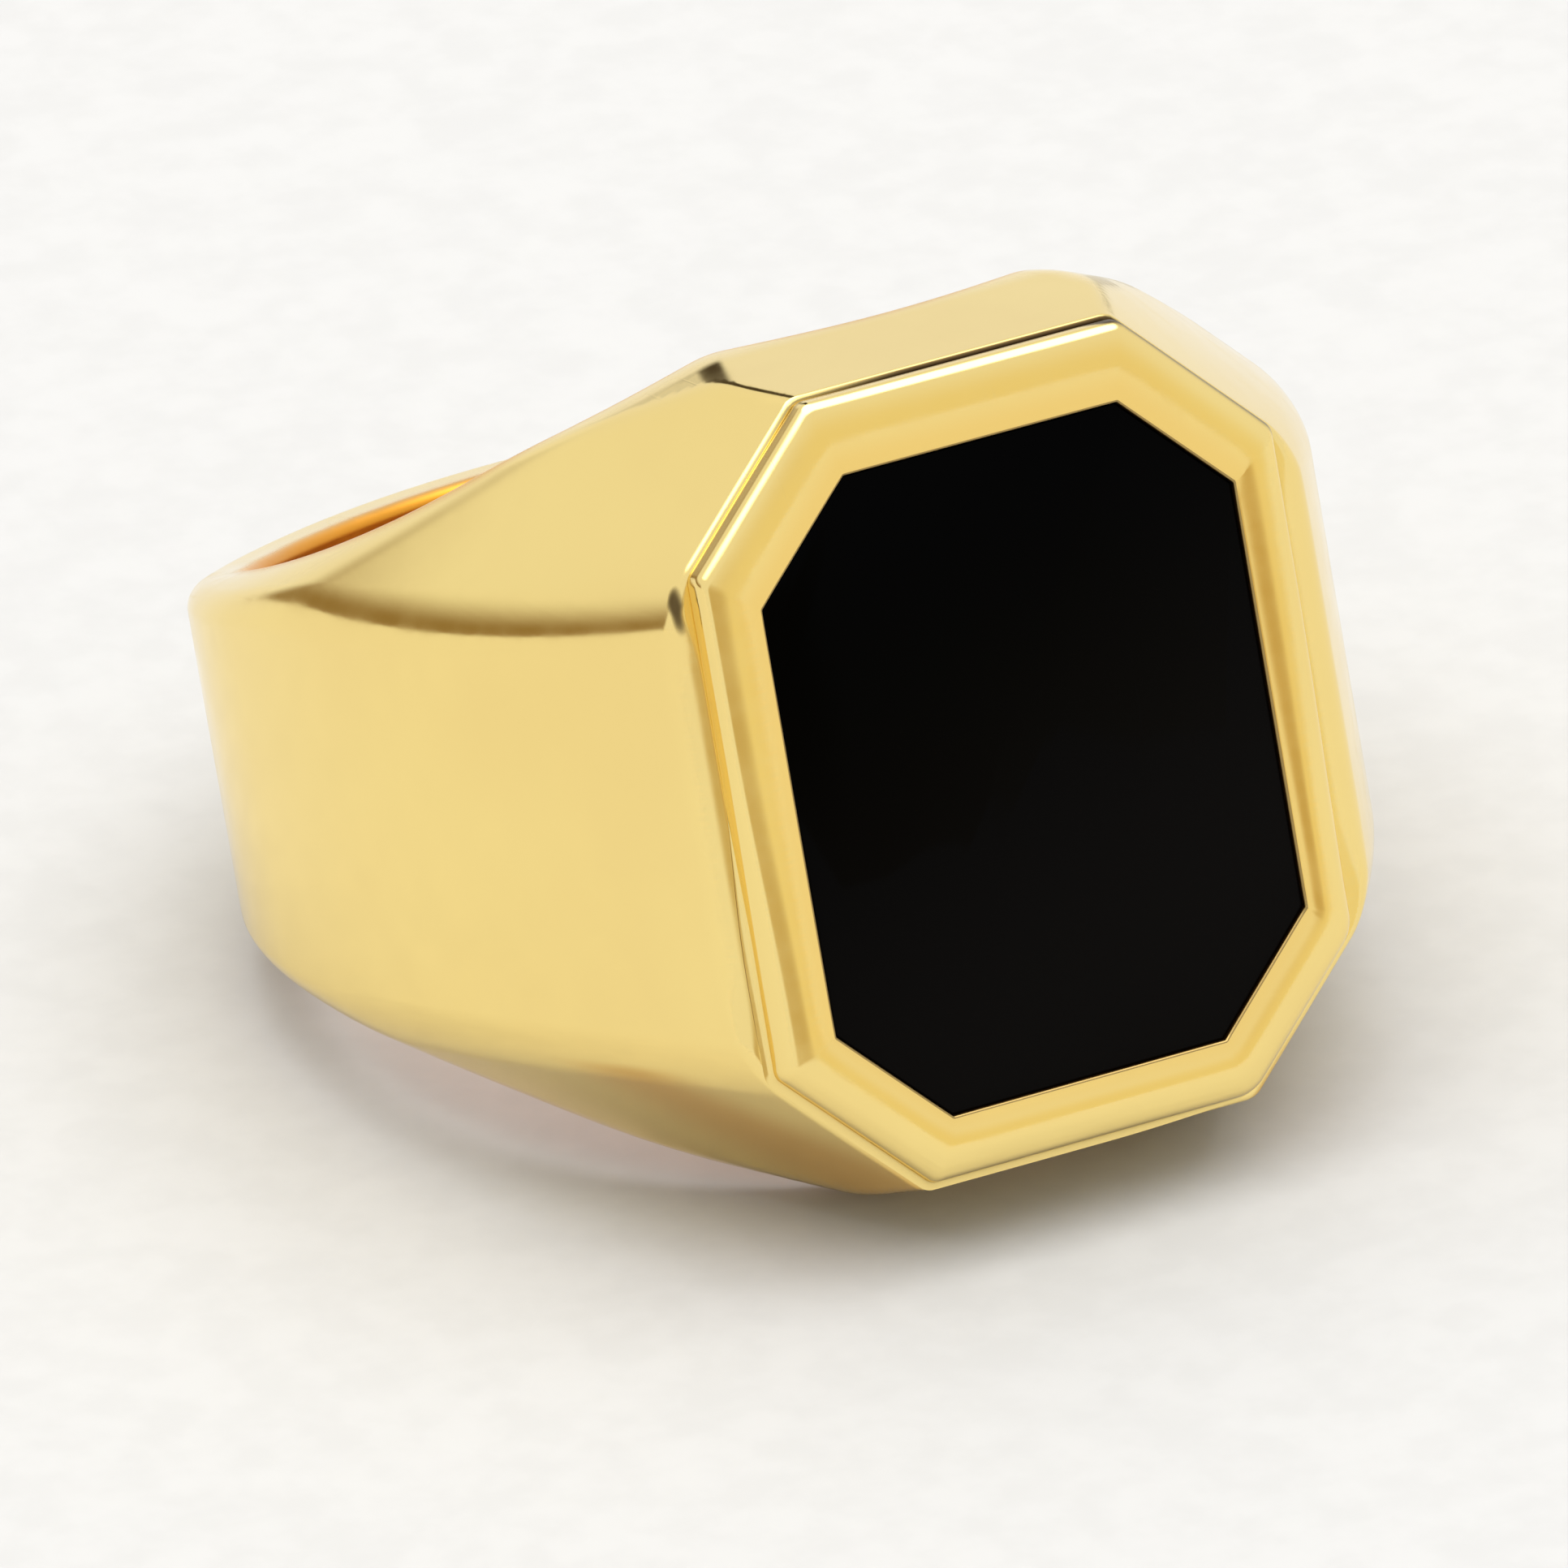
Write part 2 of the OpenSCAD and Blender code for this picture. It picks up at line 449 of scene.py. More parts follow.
# The frame and the stone sit a little off the middle. The frame's corners are worn round,
# and the lower right one, given as its cut and its radius, much more.
FACE_CENTRE = (-0.10, 0.05)
FACE_CORNER_R = 0.35
WORN_CORNER = (2.85, 0.9)
STONE_CENTRE = (0.0, -0.1)
STONE_GAP = 0.01

# The frame's face is slightly domed: it is highest CROWN_AT of the way in, and lower by
# CROWN times the square of the share from there. Its mitres are polished soft.
CROWN = 0.3
CROWN_AT = 0.4
MITRE = 0.6
MITRE_R = 0.3

# The ridge round the face is rolled, more so on the lower side. The foot of the outer wall
# is hollowed where the seam is deep, and spreads out where wear has closed it. It takes up
# FOOT_HIGHEST of the wall at most.
RIDGE_R = 0.28
RIDGE_WEAR = 0.25
FOOT = 0.05
FOOT_DEEPER = 0.15
FOOT_WORN = 0.25
FOOT_HIGHEST = 0.9
FOOT_RINGS = 4
WALL_RINGS = 5
RIDGE_RINGS = 14
DOME_RINGS = 20

# The lip goes down to the stone, whose face has a fine ground bevel.
LIP_R = 0.06
LIP_RINGS = 6
STONE_BEVEL = 0.05
STONE_EDGE_R = 0.05
STONE_HARD_ANGLE = 30


def toward_top_right(points):
    """0 on the frame's left and lower sides, 1 on its upper and upper right ones, where the
    seam under it is deepest."""
    return smooth_step(0.5 * points[:, 0] + points[:, 1], 4, 8)


def toward_low_left(points):
    """0 on the frame's upper and right sides, 1 on its lower and lower left ones, where wear
    has closed the seam."""
    return smooth_step(-0.7 * points[:, 0] - points[:, 1], 3, 8)


def frame_rings(outer, inner):
    """Rings of points from the foot of the outer wall over the ridge to the stone."""
    span = np.linalg.norm(inner - outer, axis=1)
    ridge = RIDGE_R + RIDGE_WEAR * smooth_step(-outer[:, 1], -2, 5)
    foot = FOOT + FOOT_DEEPER * toward_top_right(outer) - FOOT_WORN * toward_low_left(outer)
    corners = outer[PER_CORNER // 2::PER_CORNER + PER_SIDE]
    to_corner = np.hypot(np.linalg.norm(outer[:, None] - corners, axis=2).min(1), MITRE_R)
    mitre = np.maximum(MITRE - to_corner * math.sin(math.pi / 4), 0) ** 2 / (4 * MITRE)
    rings = []

    def ring(inset, out):
        flat = outer + (inner - outer) * (inset / span)[:, None]
        rings.append(np.stack([flat[:, 0], -out + 0 * span, flat[:, 1]], 1))

    def crown(share):
        return RIM_OUT - CROWN * (share - mitre / span - CROWN_AT) ** 2

    roll = math.pi / 2 - np.arctan(2 * CROWN * CROWN_AT / span)
    edge = ridge * (1 - np.cos(roll))
    hub = crown(0) - ridge * np.sin(roll)
    rise = np.minimum(np.abs(foot), FOOT_HIGHEST * (hub - SEAM_OUT))
    for k in range(FOOT_RINGS + 1):
        turn = math.pi / 2 * k / FOOT_RINGS
        ring(foot * (1 - math.sin(turn)), SEAM_OUT + rise * (1 - math.cos(turn)))
    for k in range(1, WALL_RINGS + 1):
        ring(0 * span, SEAM_OUT + rise + (hub - SEAM_OUT - rise) * k / WALL_RINGS)
    for k in range(1, RIDGE_RINGS + 1):
        turn = roll * k / RIDGE_RINGS
        ring(ridge * (1 - np.cos(turn)), hub + ridge * np.sin(turn))
    for k in range(1, DOME_RINGS + 1):
        share = k / DOME_RINGS
        ring(edge + (span - edge - LIP_R) * share, crown(share))
    for k in range(1, LIP_RINGS + 1):
        turn = math.pi / 2 * k / LIP_RINGS
        ring(span - LIP_R * (1 - math.sin(turn)), crown(1) - LIP_R * (1 - math.cos(turn)))
    ring(span, SEAM_OUT)
    return rings


def shell_piece(name, rings, material, replaced, cap=False, hard_angle=HARD_ANGLE):
    """Closed mesh from rings of points; the last ring joins the first, or both are capped."""
    per_row = len(rings[0])
    points = np.vstack(rings)
    faces = loop_faces(len(rings), per_row)
    last = (len(rings) - 1) * per_row
    if cap:
        faces.append(tuple(range(per_row))[::-1])
        faces.append(tuple(range(last, last + per_row)))
    else:
        for i in range(per_row):
            j = (i + 1) % per_row
            faces.append((last + i, last + j, j, i))
    piece = make_piece(name, points, faces, None, material, hard_angle)
    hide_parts(replaced)
    return piece


def frame_piece(material, lip_material):
    """The octagonal frame: a rolled ridge, then a domed face down to the lip at the stone. The
    lip has its own material."""
    outer = octagon_loop(FACE_W, FACE_L, FACE_CUT, FACE_CENTRE, FACE_CORNER_R, WORN_CORNER)
    gap = 2 * STONE_GAP
    inner = octagon_loop(STONE_W + gap, STONE_L + gap, STONE_CUT, STONE_CENTRE, STONE_CORNER_R)
    rings = frame_rings(outer, inner)
    piece = shell_piece("octagonal_frame", rings, material, "bezel_frame")
    piece.data.materials.append(lip_material)
    slots = np.zeros(len(piece.data.polygons), np.int32)
    slots[-(LIP_RINGS + 2) * len(outer):] = 1
    piece.data.polygons.foreach_set("material_index", slots)


def stone_piece(material):
    """The onyx tablet, with a bevel in two steps round its face."""
    step = 0.3 * STONE_BEVEL
    rings = []
    for inset, out in ((0, STONE_BACK), (0, STONE_OUT - STONE_BEVEL),
                       (step, STONE_OUT - step), (STONE_BEVEL, STONE_OUT)):
        loop = octagon_loop(STONE_W - 2 * inset, STONE_L - 2 * inset,
                            STONE_CUT - inset * (2 - math.sqrt(2)), STONE_CENTRE, STONE_EDGE_R)
        rings.append(np.stack([loop[:, 0], np.full(len(loop), -out), loop[:, 1]], 1))
    shell_piece("onyx_stone", rings, material, "onyx_tablet",
                cap=True, hard_angle=STONE_HARD_ANGLE)


# ---------------------------------------------------------------- materials

def node(tree, kind, **inputs):
    """Adds a shader node; each keyword sets the input socket of that name."""
    made = tree.nodes.new(kind)
    for name, value in inputs.items():
        made.inputs[name.replace("_", " ")].default_value = value
    return made


def noise(tree, vector, scale, detail=2.0, roughness=0.5):
    """A noise value around 0.5. In object coordinates it has scale features in a metre."""
    made = node(tree, "ShaderNodeTexNoise", Scale=scale, Detail=detail, Roughness=roughness)
    tree.links.new(vector, made.inputs["Vector"])
    return made.outputs["Fac"]


def stretched(tree, vector, rotation, scale):
    """Object coordinates turned and scaled, so that a pattern runs in long lines."""
    made = node(tree, "ShaderNodeMapping", Rotation=rotation, Scale=scale)
    tree.links.new(vector, made.inputs["Vector"])
    return made.outputs["Vector"]


def remap(tree, value, low, high, to_low, to_high):
    """to_low up to low, to_high from high, and a smooth change between them."""
    limits = {"From_Min": low, "From_Max": high, "To_Min": to_low, "To_Max": to_high}
    made = node(tree, "ShaderNodeMapRange", **limits)
    made.interpolation_type = "SMOOTHSTEP"
    tree.links.new(value, made.inputs["Value"])
    return made.outputs["Result"]


def combine(tree, operation, *values):
    """A math node on numbers and sockets."""
    made = tree.nodes.new("ShaderNodeMath")
    made.operation = operation
    for socket, value in zip(made.inputs, values):
        if isinstance(value, (int, float)):
            socket.default_value = value
        else:
            tree.links.new(value, socket)
    return made.outputs["Value"]


def mix_colour(tree, share, first, second):
    """The first colour where share is 0, the second where it is 1."""
    made = tree.nodes.new("ShaderNodeMix")
    made.data_type = "RGBA"
    made.inputs["A"].default_value = (*first, 1)
    made.inputs["B"].default_value = (*second, 1)
    tree.links.new(share, made.inputs["Factor"])
    return made.outputs["Result"]


def hairlines(tree, vector, rotation, spacing, thickness):
    """Sparse fine scratches about spacing metres apart: 1 on a scratch, 0 elsewhere. They
    follow a level of a noise that is stretched until its contours are long and nearly
    straight."""
    lines = stretched(tree, vector, rotation, (1 / spacing, 0.03 / spacing, 0.3 / spacing))
    away = combine(tree, "SUBTRACT", noise(tree, lines, 1.0, 0.0), 0.5)
    line = remap(tree, combine(tree, "ABSOLUTE", away), 0.0, thickness, 1.0, 0.0)
    patch = remap(tree, noise(tree, vector, 260.0), 0.5, 0.62, 0.0, 1.0)
    return combine(tree, "MULTIPLY", line, patch)


def bump(tree, height, distance, strength, normal=None):
    """A surface normal bent by a height, on top of another bend if there is one."""
    made = node(tree, "ShaderNodeBump", Strength=strength, Distance=distance)
    tree.links.new(height, made.inputs["Height"])
    if normal is not None:
        tree.links.new(normal, made.inputs["Normal"])
    return made.outputs["Normal"]


def new_material(name):
    """A material, its node tree, its shader, and the place on the object in metres."""
    material = bpy.data.materials.new(name)
    material.use_nodes = True
    tree = material.node_tree
    place = tree.nodes.new("ShaderNodeTexCoord").outputs["Object"]
    return material, tree, tree.nodes["Principled BSDF"], place


def along(tree, place, direction):
    """How far a point is along a direction given in ring axes, in millimetres."""
    made = tree.nodes.new("ShaderNodeVectorMath")
    made.operation = "DOT_PRODUCT"
    made.inputs[1].default_value = LEAN @ Vector(direction) / MM
    tree.links.new(place, made.inputs[0])
    return made.outputs["Value"]


def painted(tree, below, share, colour):
    """Lays a colour over what is below it, by a share from 0 to 1."""
    mix = tree.nodes.new("ShaderNodeMix")
    mix.data_type = "RGBA"
    mix.inputs["B"].default_value = (*colour, 1)
    tree.links.new(below, mix.inputs["A"])
    tree.links.new(share, mix.inputs["Factor"])
    return mix.outputs["Result"]


def squares(tree, *values):
    """The sum of the squares of some numbers."""
    total = combine(tree, "MULTIPLY", values[0], values[0])
    for value in values[1:]:
        total = combine(tree, "MULTIPLY_ADD", value, value, total)
    return total


# What a unit step across a cut corner measures along x or z.
SLANT = math.sqrt(0.5)

# Where the painted marks begin and end, in millimetres: the painted shade with dark paste on the
# ledge below the seam and past the frame's right side, the same on the frame above the seam and
# how much higher in the corner, and the painted reflection tone on the frame's face away from the
# stone.
LEDGE_DEPTH = (0.07, 0.02)
LEDGE_SIDE = (-0.1, 0.15)
SEAM_REACH = (0.15, 0.32)
SEAM_RAISE = 0.29
STONE_REACH = (0.1, 0.9)

# The spot of painted shade and dark paste in the recess of the upper left corner. Its middle is
# in, back and down from the corner. It is narrower along x and longer along z than a ball, and
# tilted.
SPOT_IN = 0.14
SPOT_BACK = 0.1
SPOT_DOWN = 0.5
SPOT_NARROW = 1.4
SPOT_LONG = 0.36
SPOT_TILT = 0.25

# The wedge of painted dark reflection on a lower shoulder, where it mirrors the shaded table
# under the ring. An edge has a slope, and the two places along the cut corner where it begins and
# ends.
# WEDGE_INSIDE is where the painted tone sets in and where it is full, as the squared radius of
# the shoulder's cylinder less that of the point.
WEDGE_SHARE = 0.62
WEDGE_BEFORE = (2.04, 24.0, 27.0)
WEDGE_BEHIND = (2.93, 27.5, 33.5)
WEDGE_INSIDE = (9.0, 2.0)


def inside_bore(tree, place):
    """Where the painted reflection colour lies: 1 on the inside of the band, fading to 0 past its
    rolled edge.
    """
    radius = squares(tree, along(tree, place, (1, 0, 0)), along(tree, place, (0, 1, 0)))
    return remap(tree, radius, BORE_R ** 2, (BORE_R + 2 * BORE_EDGE) ** 2, 1.0, 0.0)


def top_right(tree, place, least):
    """1 along the frame's upper and upper right sides, falling to least elsewhere."""
    return remap(tree, along(tree, place, (0.5, 0, 1)), 5.0, 8.0, least, 1.0)


def ledge_shade_and_paste(tree, place):
    """Dark paste and painted shade on the head's ledge below the seam, along the upper and upper
    right sides.
    """
    x, out = along(tree, place, (1, 0, 0)), along(tree, place, (0, -1, 0))
    level = remap(tree, out, SEAM_OUT - LEDGE_DEPTH[0], SEAM_OUT - LEDGE_DEPTH[1], 0.0, 1.0)
    beside = remap(tree, x, FACE_W / 2 + LEDGE_SIDE[0], FACE_W / 2 + LEDGE_SIDE[1], 1.0, 0.0)
    level = combine(tree, "MULTIPLY", level, beside)
    return combine(tree, "MULTIPLY", level, top_right(tree, place, 0.0))


def corner_shade_and_paste(tree, place):
    """Painted shade and dark paste in the recess of the upper left corner, where flank, shoulder
    and frame meet: a ragged spot."""
    corner_x, corner_z = FACE_W / 2 + SIDE_LEDGE, FACE_L / 2 - FACE_CUT
    x = combine(tree, "ADD", along(tree, place, (1, 0, 0)), corner_x - SPOT_IN)
    z = combine(tree, "SUBTRACT", along(tree, place, (SPOT_TILT, 0, 1)),
                corner_z - SPOT_DOWN - SPOT_TILT * corner_x)
    out = combine(tree, "SUBTRACT", along(tree, place, (0, -1, 0)), SEAM_OUT - SPOT_BACK)
    wide = combine(tree, "MULTIPLY", x, SPOT_NARROW)
    tall = combine(tree, "MULTIPLY", z, SPOT_LONG)
    away = squares(tree, wide, tall, out)
    ragged = remap(tree, noise(tree, place, 1600.0, 1.0), 0.35, 0.65, 0.7, 1.6)
    return remap(tree, combine(tree, "MULTIPLY", away, ragged), 0.004, 0.06, 0.95, 0.0)


def lower_shoulder_dark_reflection(tree, place):
    """A soft wedge of painted dark reflection on the lower shoulders, for the shaded table that
    they mirror, widest at the lower end of the face. A shoulder is a cylinder behind a cut corner
    of the face, so all its points are about as far from the cylinder's axis."""
    across = combine(tree, "ABSOLUTE", along(tree, place, (SLANT, 0, 0)))
    up = along(tree, place, (0, 0, SLANT))
    out = along(tree, place, (0, -1, 0))
    depth = combine(tree, "ADD", combine(tree, "SUBTRACT", across, up), SCOOP_R - SCOOP_TOP)
    cylinder = (SCOOP_R + LOWER_FULLNESS) ** 2
    share = remap(tree, squares(tree, depth, out),
                  cylinder - WEDGE_INSIDE[0], cylinder - WEDGE_INSIDE[1], 0.0, WEDGE_SHARE)
    along_cut = combine(tree, "ADD", across, up)
    for (slope, low, high), first in ((WEDGE_BEFORE, 1.0), (WEDGE_BEHIND, 0.0)):
        edge = combine(tree, "MULTIPLY_ADD", out, slope, along_cut)
        edge = remap(tree, edge, low, high, first, 1.0 - first)
        share = combine(tree, "MULTIPLY", share, edge)
    return combine(tree, "MULTIPLY", share, remap(tree, up, -2.0, -1.0, 1.0, 0.0))


def seam_shade_and_paste(tree, place):
    """Dark paste and painted shade in the seam at the frame's foot, most of all on the upper and
    upper right sides. At the cut corner between these it reaches higher up."""
    toward_corner = along(tree, place, (SLANT, 0, SLANT))
    corner = remap(tree, toward_corner, CORNER_LINE - 0.8, CORNER_LINE - 0.3, 0.0, SEAM_RAISE)
    above = combine(tree, "SUBTRACT", along(tree, place, (0, -1, 0)), corner)
    low = remap(tree, above, SEAM_OUT + SEAM_REACH[0], SEAM_OUT + SEAM_REACH[1], 1.0, 0.0)
    return combine(tree, "MULTIPLY", low, top_right(tree, place, 0.04))


def near_stone_reflection(tree, place):
    """A painted reflection: a deeper gold for gold mirrored in gold beside the stone, strongest
    at the stone's outline, fading out across the frame's face.
    """
    x = combine(tree, "ABSOLUTE", along(tree, place, (1, 0, 0)))
    z = combine(tree, "ABSOLUTE", along(tree, place, (0, 0, 1)))
    side = combine(tree, "SUBTRACT", x, STONE_W / 2)
    end = combine(tree, "SUBTRACT", z, STONE_L / 2)
    slanted = combine(tree, "MULTIPLY", combine(tree, "ADD", x, z), SLANT)
    cut = combine(tree, "SUBTRACT", slanted, (STONE_W / 2 + STONE_L / 2 - STONE_CUT) * SLANT)
    away = combine(tree, "MAXIMUM", combine(tree, "MAXIMUM", side, end), cut)
    return remap(tree, away, *STONE_REACH, 0.55, 0.0)


def lip_shade(tree, place):
    """Painted shade down the frame's lip, against the stone."""
    lip_out = RIM_OUT - CROWN * (1 - CROWN_AT) ** 2
    return remap(tree, along(tree, place, (0, -1, 0)), lip_out - LIP_R, lip_out, 1.0, 0.7)


GOLD = (0.93, 0.725, 0.275)
DEEPER_GOLD = (0.91, 0.70, 0.265)
SCRATCH_ROUGHNESS = 0.05


def gold_material(name, painted_marks):
    """Polished yellow gold: a soft change of tone, long polishing lines, hairline scratches
    and painted marks of shade and reflection, some with dark paste. A mark is a function that
    gives its share, its colour and the roughness that it adds."""
    material, tree, shader, place = new_material(name)
    shader.inputs["Metallic"].default_value = 1.0
    tone = remap(tree, noise(tree, place, 140.0, 3.0), 0.35, 0.65, 0.0, 1.0)
    colour = mix_colour(tree, tone, GOLD, DEEPER_GOLD)
    dull = 0.0
    for mark, mark_colour, roughness in painted_marks:
        share = mark(tree, place)
        colour = painted(tree, colour, share, mark_colour)
        if roughness:
            dull = combine(tree, "MULTIPLY_ADD", share, roughness, dull)
    tree.links.new(colour, shader.inputs["Base Color"])
    round_band = stretched(tree, place, (0.0, 0.0, 0.35), (90.0, 90.0, 1800.0))
    lines = noise(tree, round_band, 1.0, 3.0, 0.6)
    mottle = noise(tree, place, 900.0, 4.0, 0.6)
    scratch = combine(tree, "MAXIMUM",
                      hairlines(tree, place, (0.2, 0.5, 0.3), 1.6 * MM, 0.008),
                      hairlines(tree, place, (0.9, -0.4, 1.3), 2.1 * MM, 0.006))
    polish = remap(tree, mottle, 0.3, 0.7, 0.10, 0.17)
    rough = combine(tree, "ADD", polish, combine(tree, "MULTIPLY", scratch, SCRATCH_ROUGHNESS))
    rough = combine(tree, "ADD", rough, dull)
    tree.links.new(rough, shader.inputs["Roughness"])
    soft = bump(tree, combine(tree, "ADD", lines, mottle), 7 * MICRON, 0.25)
    fine = bump(tree, combine(tree, "MULTIPLY", scratch, -1.0), 3 * MICRON, 0.12, soft)
    tree.links.new(fine, shader.inputs["Normal"])
    return material


def onyx_material():
    """Black onyx, polished flat: a faint cloudiness, a base colour a little lighter towards the
    lower right, hairlines and a few specks of dust.
    """
    material, tree, shader, place = new_material("black_onyx")
    shader.inputs["Specular IOR Level"].default_value = 0.02
    shader.inputs["IOR"].default_value = 1.5
    dust = node(tree, "ShaderNodeTexVoronoi", Scale=420.0)
    tree.links.new(place, dust.inputs["Vector"])
    speck = remap(tree, dust.outputs["Distance"], 0.012, 0.03, 1.0, 0.0)
    kept = remap(tree, noise(tree, place, 600.0), 0.62, 0.66, 0.0, 1.0)
    speck = combine(tree, "MULTIPLY", speck, kept)
    # The base colour is a little lighter towards the lower right.
    lighter_to_lower_right = remap(tree, along(tree, place, (0.4, 0, -1)), -6.0, 6.0, 0.0, 1.0)
    colour = mix_colour(tree, lighter_to_lower_right, (0.0002, 0.0002, 0.0002), (0.003, 0.0026, 0.0023))
    colour = painted(tree, colour, speck, (0.16, 0.16, 0.15))
    tree.links.new(colour, shader.inputs["Base Color"])
    scratch = hairlines(tree, place, (0.1, 0.7, 0.2), 3 * MM, 0.006)
    cloud = remap(tree, noise(tree, place, 200.0, 3.0), 0.3, 0.7, 0.03, 0.07)
    rough = combine(tree, "ADD", cloud, combine(tree, "MULTIPLY", scratch, 0.15))
    tree.links.new(rough, shader.inputs["Roughness"])
    tree.links.new(bump(tree, scratch, 2 * MICRON, 0.2), shader.inputs["Normal"])
    return material


def cement_material():
    """Dull jeweller's cement, hidden under the stone."""
    material, tree, shader, place = new_material("stone_cement")
    tone = remap(tree, noise(tree, place, 1500.0, 4.0), 0.3, 0.7, 0.0, 1.0)
    colour = mix_colour(tree, tone, (0.30, 0.26, 0.19), (0.40, 0.36, 0.28))
    tree.links.new(colour, shader.inputs["Base Color"])
    shader.inputs["Roughness"].default_value = 0.8
    tree.links.new(bump(tree, tone, 20 * MICRON, 0.5), shader.inputs["Normal"])
    return material


# Painted marks: painted shade, some of it with dark paste, and painted reflection tones. For
# each, the function that gives the share, the colour, and the roughness added.
# Dark paste colour, laid also as painted shade in the seam, on the ledge and in the upper left
# corner recess.
PASTE_AND_SHADE = (0.08, 0.05, 0.02)
DULL = 0.25
# Painted reflection: a deeper gold beside the stone, for gold mirrored in gold.
STONE_REFLECTION_TONE = (near_stone_reflection, (0.90, 0.60, 0.15), 0.0)
# Painted dark reflection of the shaded table on the lower shoulders.
SHOULDER_DARK_REFLECTION = (lower_shoulder_dark_reflection, (0.68, 0.36, 0.07), 0.0)
# Painted reflection colour inside the band, for gold mirrored in gold.
BORE_REFLECTION_TONE = (inside_bore, (0.74, 0.32, 0.03), DULL)
# Dark paste together with painted shade: on the ledge, in the upper left corner recess and along
# the seam.
LEDGE_SHADE_AND_PASTE = (ledge_shade_and_paste, PASTE_AND_SHADE, DULL)
CORNER_SHADE_AND_PASTE = (corner_shade_and_paste, PASTE_AND_SHADE, DULL)
SEAM_SHADE_AND_PASTE = (seam_shade_and_paste, PASTE_AND_SHADE, DULL)
# Painted shade down the lip against the stone.
LIP_SHADE = (lip_shade, (0.13, 0.06, 0.015), DULL)

SHANK_GOLD = gold_material("shank_gold", [SHOULDER_DARK_REFLECTION, BORE_REFLECTION_TONE])
HEAD_GOLD = gold_material("head_gold", [SHOULDER_DARK_REFLECTION, BORE_REFLECTION_TONE, LEDGE_SHADE_AND_PASTE, CORNER_SHADE_AND_PASTE])
FRAME_GOLD = gold_material("frame_gold", [STONE_REFLECTION_TONE, SEAM_SHADE_AND_PASTE])
LIP_GOLD = gold_material("lip_gold", [LIP_SHADE])

hoop_piece("shank_band", "shank", shank_angles(), SHANK_GOLD)
stone_pocket(hoop_piece("head_top", "head_block", head_angles(), HEAD_GOLD))
frame_piece(FRAME_GOLD, LIP_GOLD)
stone_piece(onyx_material())
frame["nodes"]["stone_bearing"].data.materials[0] = SHANK_GOLD
frame["nodes"]["cement_bed"].data.materials[0] = cement_material()


# ---------------------------------------------------------------- camera, floor and light

def aim(thing, place, target, up):
    """Puts a camera or a light at place, looking at target, with up at the top."""
    back = (place - target).normalized()
    right = up.cross(back).normalized()
    thing.matrix_world = Matrix.Translation(place) @ Matrix(
        (right, back.cross(right), back)).transposed().to_4x4()


# The camera, in ring axes, degrees and millimetres. The picture's middle is right of and
# above the centre of the finger hole by the two numbers of PICTURE_CENTRE.
CAMERA_AZIMUTH = 23.22
CAMERA_ELEVATION = 12.64
CAMERA_ROLL = 9.87
CAMERA_DISTANCE = 600.0
CAMERA_LENS = 651.6
PICTURE_CENTRE = (0.82, -2.506)


def make_camera():
    """A long lens, from the left of the face and a little above it."""
    azimuth, elevation = math.radians(CAMERA_AZIMUTH), math.radians(CAMERA_ELEVATION)
    roll = math.radians(CAMERA_ROLL)
    toward = Vector((-math.sin(azimuth) * math.cos(elevation),
                     -math.cos(azimuth) * math.cos(elevation), math.sin(elevation)))
    right = Vector((math.cos(azimuth), -math.sin(azimuth), 0))
    above = toward.cross(right)
    up = math.sin(roll) * right + math.cos(roll) * above
    level = math.cos(roll) * right - math.sin(roll) * above
    target = PICTURE_CENTRE[0] * level + PICTURE_CENTRE[1] * up
    data = bpy.data.cameras.new("camera")
    data.sensor_width = 36.0
    data.lens = CAMERA_LENS
    data.clip_start = 0.01
    camera = bpy.data.objects.new("camera", data)
    bpy.context.scene.collection.objects.link(camera)
    aim(camera, LEAN @ (CAMERA_DISTANCE * toward) * MM, LEAN @ target * MM, LEAN @ up)
    bpy.context.scene.camera = camera


# Half the width of the table.
TABLE_HALF = 3000.0

# Colours of the light tent: all round, overhead, in front, where the camera stands, and in
# the two gaps.
TENT = (0.93, 0.93, 0.94)
OVERHEAD = (3.6, 3.6, 3.6)
FRONT = (0.90, 0.82, 0.58)
CAMERA_SIDE = (0.62, 0.50, 0.29)
LEFT_GAP = (0.30, 0.21, 0.10)
BACK_GAP = (0.05, 0.035, 0.02)


def make_floor():
    """A wide pale table, just under the ring."""
    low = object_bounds()[0][2]
    half = TABLE_HALF * MM
    mesh = bpy.data.meshes.new("table")
    corners = [(-half, -half, low), (half, -half, low), (half, half, low), (-half, half, low)]
    mesh.from_pydata(corners, [], [(0, 1, 2, 3)])
    table = bpy.data.objects.new("table", mesh)
    bpy.context.scene.collection.objects.link(table)
    material, tree, shader, place = new_material("pale_table")
    shader.inputs["Roughness"].default_value = 0.7
    grain = remap(tree, noise(tree, place, 900.0, 3.0), 0.3, 0.7, 0.0, 1.0)
    colour = mix_colour(tree, grain, (0.455, 0.45, 0.437), (0.475, 0.47, 0.457))
    tree.links.new(colour, shader.inputs["Base Color"])
    mesh.materials.append(material)


def band(tree, value, middle, half, soft):
    """1 where value is within half of middle, fading to 0 over soft."""
    away = combine(tree, "ABSOLUTE", combine(tree, "SUBTRACT", value, middle))
    return remap(tree, away, half, half + soft, 1.0, 0.0)


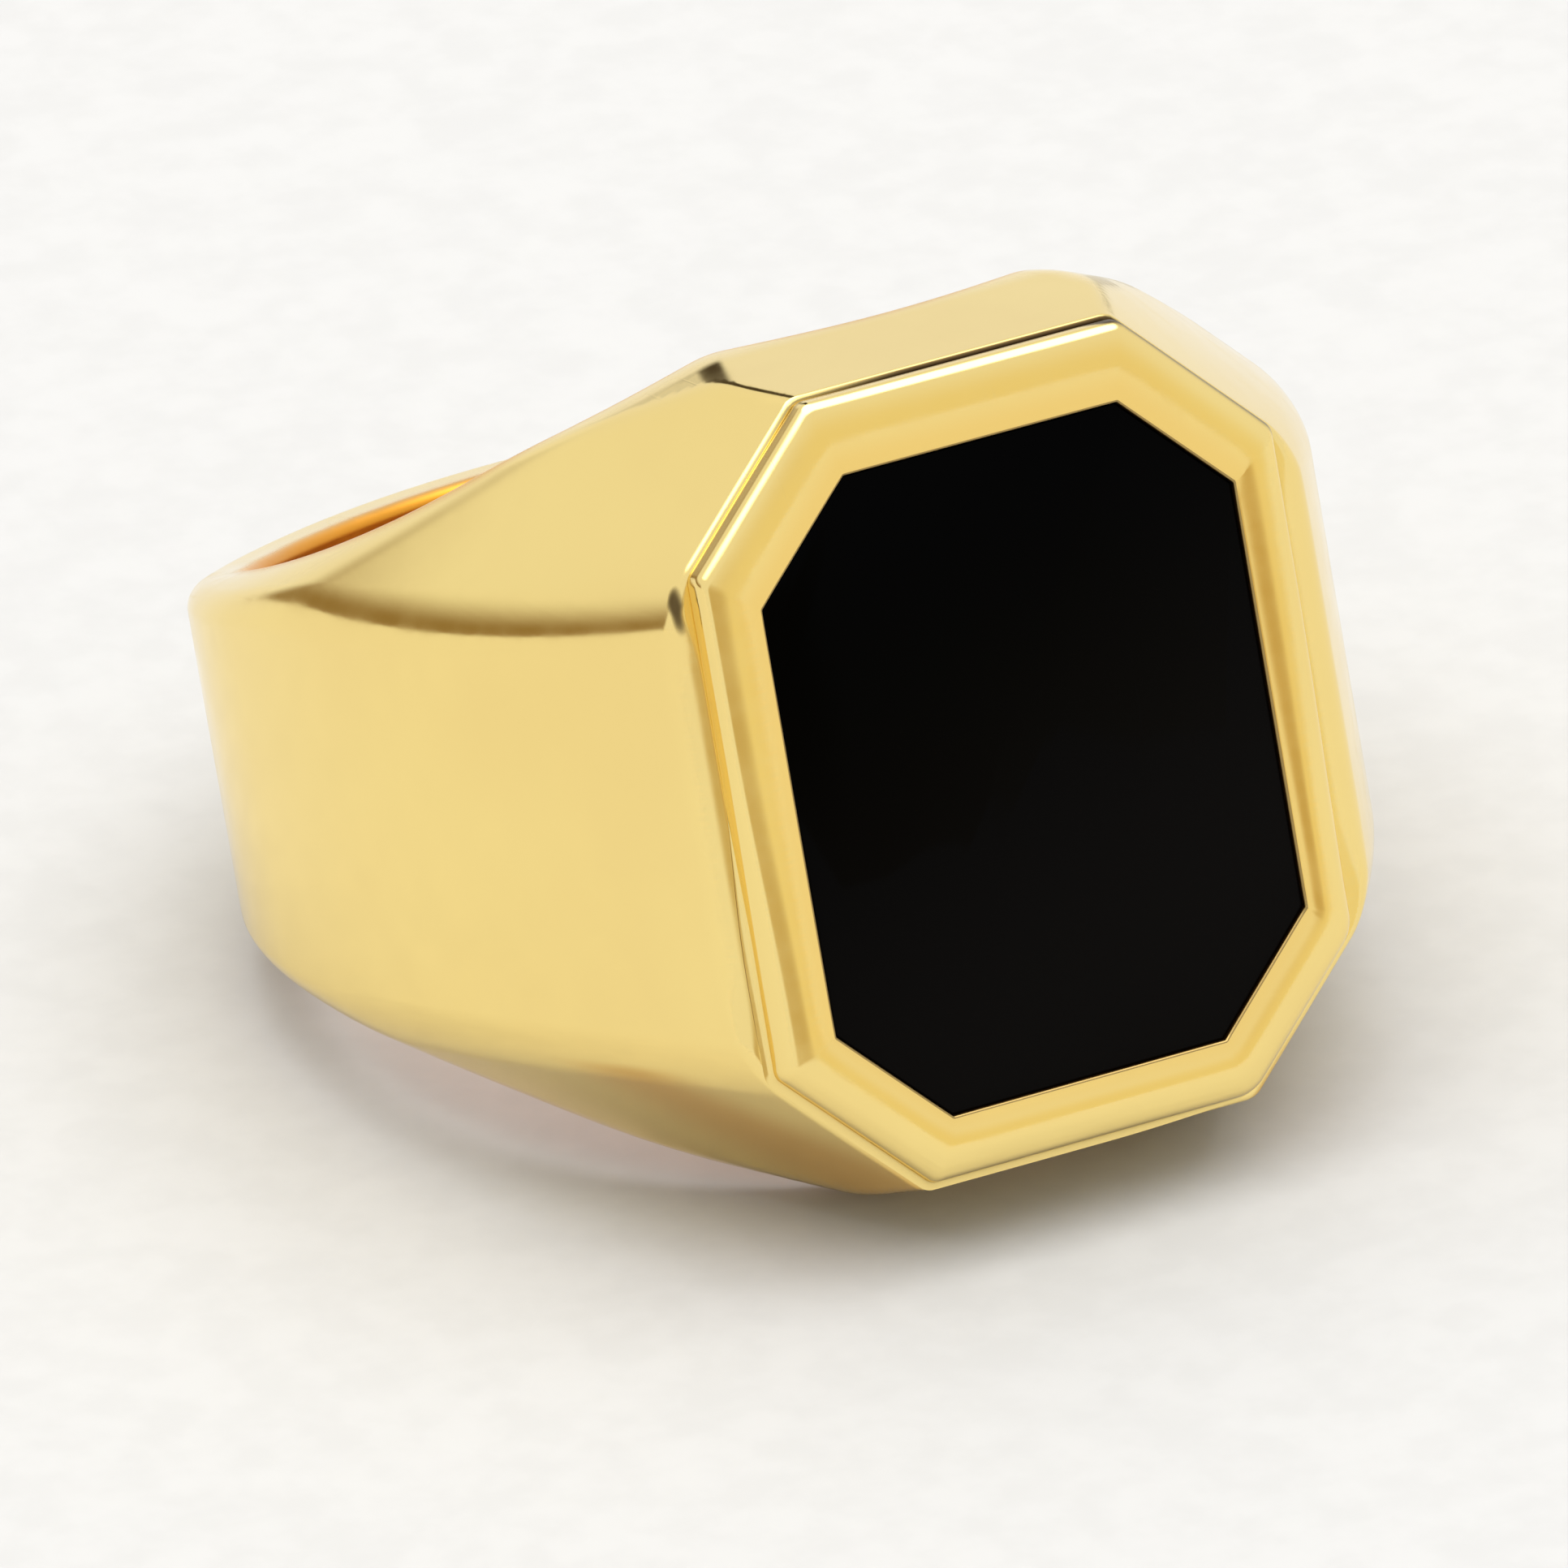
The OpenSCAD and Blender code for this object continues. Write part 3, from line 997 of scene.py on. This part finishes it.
def glow(tree, place, side, height, inner, outer):
    """1 within inner degrees of a direction, fading to 0 at outer degrees. The direction is
    given by degrees round from the front, to the right, and degrees above the table."""
    turn, rise = math.radians(side), math.radians(height)
    dot = tree.nodes.new("ShaderNodeVectorMath")
    dot.operation = "DOT_PRODUCT"
    dot.inputs[1].default_value = (math.sin(turn) * math.cos(rise),
                                   -math.cos(turn) * math.cos(rise), math.sin(rise))
    tree.links.new(place, dot.inputs[0])
    return remap(tree, dot.outputs["Value"], math.cos(math.radians(outer)),
                 math.cos(math.radians(inner)), 0.0, 1.0)


def make_surroundings():
    """A light tent: bright overhead, warmer in front, darker beside the camera, and with a
    gap low on the left and a narrow one behind."""
    world = bpy.data.worlds.new("light_tent")
    world.use_nodes = True
    tree = world.node_tree
    place = tree.nodes.new("ShaderNodeTexCoord").outputs["Generated"]
    split = tree.nodes.new("ShaderNodeSeparateXYZ")
    tree.links.new(place, split.inputs["Vector"])
    x, y, z = split.outputs
    from_front = combine(tree, "ARCTAN2", x, combine(tree, "MULTIPLY", y, -1.0))  # radians
    from_back = combine(tree, "ARCTAN2", x, y)
    tent = mix_colour(tree, remap(tree, z, 0.70, 0.84, 0.0, 1.0), TENT, OVERHEAD)
    tent = painted(tree, tent, glow(tree, place, 20, -6, 10, 30), FRONT)
    tent = painted(tree, tent, glow(tree, place, 0, 0, 2, 20), CAMERA_SIDE)
    left_gap = combine(tree, "MULTIPLY",
                       band(tree, from_front, math.radians(-125), 0.65, 0.25),
                       remap(tree, z, 0.08, 0.40, 1.0, 0.0))
    tent = painted(tree, tent, left_gap, LEFT_GAP)
    back_gap = combine(tree, "MULTIPLY",
                       band(tree, from_back, 0.227, 0.075, 0.06),
                       band(tree, z, 0.42, 0.22, 0.15))
    tent = painted(tree, tent, back_gap, BACK_GAP)
    tree.links.new(tent, tree.nodes["Background"].inputs["Color"])
    bpy.context.scene.world = world


make_camera()
make_floor()
make_surroundings()
bpy.context.scene.view_settings.view_transform = "Standard"
